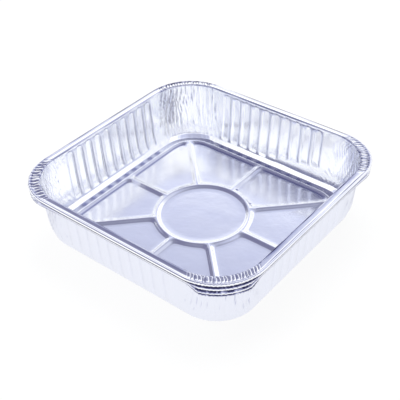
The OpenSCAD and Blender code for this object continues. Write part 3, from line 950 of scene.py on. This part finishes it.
def foil_material(name, foil_colour, roughness, with_edge_and_nick_shade):
    """Rolled foil: fine rolling lines, small dents, and dull folds with painted shade."""
    material = bpy.data.materials.new(name)
    material.use_nodes = True
    nodes, links = material.node_tree.nodes, material.node_tree.links
    shader = nodes["Principled BSDF"]
    shader.inputs["Metallic"].default_value = 1
    place = nodes.new("ShaderNodeTexCoord").outputs["Object"]
    fold_shade = mesh_value(nodes, "crease")
    if with_edge_and_nick_shade:
        fold_shade = math_node(nodes, links, "MAXIMUM", fold_shade, mesh_value(nodes, "press"))
        fold_shade = with_nick_shades(nodes, links, place, fold_shade)
    # Painted shade: the colour darkens from the foil's toward the fold and crease shade colours
    ramp = nodes.new("ShaderNodeValToRGB")
    links.new(fold_shade, ramp.inputs[0])
    ramp.color_ramp.elements.new(FOLD_SHADE_STOP)
    for element, stop in zip(ramp.color_ramp.elements, (foil_colour, FOLD_SHADE_COLOUR, CREASE_SHADE_COLOUR)):
        element.color = (*stop, 1)
    links.new(ramp.outputs[0], shader.inputs["Base Color"])

    dents = noise_texture(nodes, links, place, *DENT_NOISE)
    grain = noise_texture(nodes, links, place, *GRAIN_NOISE)
    dull = noise_texture(nodes, links, place, *DULL_NOISE)
    spot = nodes.new("ShaderNodeSeparateXYZ")
    links.new(place, spot.inputs[0])
    wall = map_range(nodes, links, spot.outputs["Z"], *[z * MM for z in WALL_ROUGHER_LEVELS])
    lowest = roughness - DULL_SPREAD / 2
    rough = math_node(nodes, links, "MULTIPLY_ADD", dull, DULL_SPREAD, lowest)
    rough = math_node(nodes, links, "MULTIPLY_ADD", fold_shade, FOLD_ROUGHER, rough)
    rough = math_node(nodes, links, "MULTIPLY_ADD", wall.outputs[0], WALL_ROUGHER, rough)
    links.new(rough, shader.inputs["Roughness"])
    bump = nodes.new("ShaderNodeBump")
    bump.inputs["Strength"].default_value = BUMP_STRENGTH
    bump.inputs["Distance"].default_value = BUMP_DISTANCE
    height = math_node(nodes, links, "MULTIPLY_ADD", grain, GRAIN_HEIGHT, dents)
    links.new(height, bump.inputs["Height"])
    links.new(bump.outputs["Normal"], shader.inputs["Normal"])
    return material


# Stage: floor, world, lamps and camera

WHITE = (1, 1, 1)
MIX_FIRST, MIX_SECOND = 6, 7    # a mix node's inputs for two colours
SKY_STRENGTH = 1.2
SOFT_COLOUR = (0.97, 0.98, 1)
SOFT_STRENGTH = 0.6

# The studio as the foil mirrors it: white, and darker toward one direction, given by its
# azimuth and elevation. The stops are at the cosine of the angle from that direction.
SKY_AXIS = (-80, 77)
SKY_STOPS = [
    (0.0, WHITE), (0.6, WHITE),
    (0.645, (0.8, 0.83, 0.97)),
    (0.661, (0.665, 0.7, 0.88)),
    (0.686, (0.56, 0.585, 0.76)),
    (0.733, (0.46, 0.485, 0.66)),
    (0.77, (0.45, 0.47, 0.62)),
    (0.86, (0.33, 0.34, 0.46)),
    (0.93, (0.22, 0.23, 0.33)),
    (1.0, (0.2, 0.2, 0.3)),
]

# One white panel and the dark flags in the studio: azimuth, elevation, radius of the even
# part and of the whole in degrees, colour
STUDIO_PATCHES = [
    (-37, 26, 9, 20, WHITE),
    (152, 47, 6, 17, (0.55, 0.57, 0.7)),
    (-80, 58, 15, 26, (0.17, 0.17, 0.28)),
    (88, 27, 6, 16, (0.12, 0.12, 0.2)),
    (-97, 27, 7, 18, (0.16, 0.16, 0.26)),
    (-33, 54, 5, 13, (0.06, 0.06, 0.15)),
]

FLOOR_HALF = 6.0
FLOOR_DROP = 0.3 * MM
FLOOR_COLOUR = (0.9, 0.905, 0.92)
FLOOR_GLOW_SEEN = 0.9
FLOOR_GLOW_MIRRORED = 0.95

# Lamps: name, azimuth, elevation, distance, size and power
LAMPS = (("key", 200, 60, 1.6, 1.4, 22), ("fill", -60, 50, 1.8, 1.6, 14))


def direction(azimuth, elevation):
    """Direction from the tray, with azimuth 0 toward -Y and 90 toward +X, in degrees."""
    a, e = math.radians(azimuth), math.radians(elevation)
    return Vector((math.sin(a) * math.cos(e), -math.cos(a) * math.cos(e), math.sin(e)))


def cosine_from(nodes, links, place, azimuth, elevation):
    """Cosine of the angle between a place in the sky and a direction."""
    node = nodes.new("ShaderNodeVectorMath")
    node.operation = "DOT_PRODUCT"
    links.new(place, node.inputs[0])
    node.inputs[1].default_value = direction(azimuth, elevation)
    return node.outputs["Value"]


def with_patch(nodes, links, place, colour, azimuth, elevation, inner, outer, shade):
    """The studio's colour with one soft round patch of another shade in it."""
    near = cosine_from(nodes, links, place, azimuth, elevation)
    share = map_range(nodes, links, near, math.cos(math.radians(outer)),
                      math.cos(math.radians(inner)))
    share.interpolation_type = "SMOOTHSTEP"
    mix = nodes.new("ShaderNodeMix")
    mix.data_type = "RGBA"
    links.new(share.outputs[0], mix.inputs[0])
    links.new(colour, mix.inputs[MIX_FIRST])
    mix.inputs[MIX_SECOND].default_value = (*shade, 1)
    return mix.outputs[2]


def plain_shader(nodes, kind, colour, strength=None):
    """A background, emission or diffuse shader of one colour."""
    shader = nodes.new(kind)
    shader.inputs[0].default_value = (*colour, 1)
    if strength is not None:
        shader.inputs[1].default_value = strength
    return shader.outputs[0]


def shader_mix(nodes, links, share, first, second):
    """A mix of two shaders."""
    mix = nodes.new("ShaderNodeMixShader")
    for socket, value in zip(mix.inputs, (share, first, second)):
        links.new(value, socket)
    return mix.outputs[0]


def make_world():
    """A white studio: the foil mirrors its dark parts, and the background stays white."""
    world = bpy.data.worlds.new("studio")
    bpy.context.scene.world = world
    world.use_nodes = True
    nodes, links = world.node_tree.nodes, world.node_tree.links
    nodes.clear()
    place = nodes.new("ShaderNodeTexCoord").outputs["Generated"]
    ramp = nodes.new("ShaderNodeValToRGB")
    links.new(cosine_from(nodes, links, place, *SKY_AXIS), ramp.inputs[0])
    for position, _ in SKY_STOPS[1:-1]:
        ramp.color_ramp.elements.new(position)
    for element, (position, colour) in zip(ramp.color_ramp.elements, SKY_STOPS):
        element.position, element.color = position, (*colour, 1)
    colour = ramp.outputs[0]
    for patch in STUDIO_PATCHES:
        colour = with_patch(nodes, links, place, colour, *patch)
    mirrored = nodes.new("ShaderNodeBackground")
    links.new(colour, mirrored.inputs[0])
    mirrored.inputs[1].default_value = SKY_STRENGTH
    seen = plain_shader(nodes, "ShaderNodeBackground", WHITE, 1)
    soft = plain_shader(nodes, "ShaderNodeBackground", SOFT_COLOUR, SOFT_STRENGTH)
    path = nodes.new("ShaderNodeLightPath")
    light = shader_mix(nodes, links, path.outputs["Is Glossy Ray"], soft, mirrored.outputs[0])
    whole = shader_mix(nodes, links, path.outputs["Is Camera Ray"], light, seen)
    out = nodes.new("ShaderNodeOutputWorld")
    links.new(whole, out.inputs[0])


def make_floor():
    """A plain white floor that keeps the tray's soft shadow."""
    mesh = bpy.data.meshes.new("floor")
    corners = [(x * FLOOR_HALF, y * FLOOR_HALF, 0) for x, y in ((-1, -1), (1, -1), (1, 1), (-1, 1))]
    mesh.from_pydata(corners, [], [(0, 1, 2, 3)])
    floor = bpy.data.objects.new("floor", mesh)
    floor.location.z = -FLOOR_DROP
    bpy.context.scene.collection.objects.link(floor)
    material = bpy.data.materials.new("white_floor")
    material.use_nodes = True
    nodes, links = material.node_tree.nodes, material.node_tree.links
    nodes.clear()
    lit = plain_shader(nodes, "ShaderNodeBsdfDiffuse", FLOOR_COLOUR)
    glow = plain_shader(nodes, "ShaderNodeEmission", WHITE, 1)
    path = nodes.new("ShaderNodeLightPath")
    share = math_node(nodes, links, "MULTIPLY", path.outputs["Is Glossy Ray"], FLOOR_GLOW_MIRRORED)
    share = math_node(nodes, links, "MULTIPLY_ADD", path.outputs["Is Camera Ray"],
                      FLOOR_GLOW_SEEN, share)
    out = nodes.new("ShaderNodeOutputMaterial")
    links.new(shader_mix(nodes, links, share, lit, glow), out.inputs[0])
    floor.data.materials.append(material)


def make_lamp(name, azimuth, elevation, distance, size, power):
    """A round area lamp that faces the tray and isn't seen in the foil."""
    data = bpy.data.lights.new(name, "AREA")
    data.shape, data.size, data.energy = "DISK", size, power
    lamp = bpy.data.objects.new(name, data)
    back = direction(azimuth, elevation)
    lamp.location = back * distance
    lamp.rotation_mode = "QUATERNION"
    lamp.rotation_quaternion = back.to_track_quat("Z", "Y")
    lamp.visible_glossy = False
    bpy.context.scene.collection.objects.link(lamp)


def make_camera():
    """The camera at the photograph's angle, with the photograph's slight roll."""
    azimuth = math.radians(CAMERA_AZIMUTH)
    back = direction(CAMERA_AZIMUTH, CAMERA_ELEVATION)
    right = Vector((math.cos(azimuth), math.sin(azimuth), 0))
    up = back.cross(right)
    roll = math.radians(CAMERA_ROLL)
    right, up = (right * math.cos(roll) + up * math.sin(roll),
                 up * math.cos(roll) - right * math.sin(roll))
    data = bpy.data.cameras.new("camera")
    data.lens, data.sensor_width = CAMERA_LENS, CAMERA_SENSOR
    data.clip_start, data.clip_end = CAMERA_CLIP
    camera = bpy.data.objects.new("camera", data)
    turn = Matrix((right, up, back)).transposed().to_4x4()
    camera.matrix_world = Matrix.Translation(CAMERA_PLACE) @ turn
    bpy.context.scene.collection.objects.link(camera)
    bpy.context.scene.camera = camera


make_camera()
make_world()
make_floor()
for lamp_values in LAMPS:
    make_lamp(*lamp_values)
tray = make_tray(foil_material("bright_foil", FOIL_COLOUR, BRIGHT_ROUGHNESS, True),
                 foil_material("matt_foil", MATT_COLOUR, MATT_ROUGHNESS, False))
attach(tray, "root")
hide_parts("tray")
bpy.context.scene.view_settings.view_transform = "Standard"

bpy.context.view_layer.update()
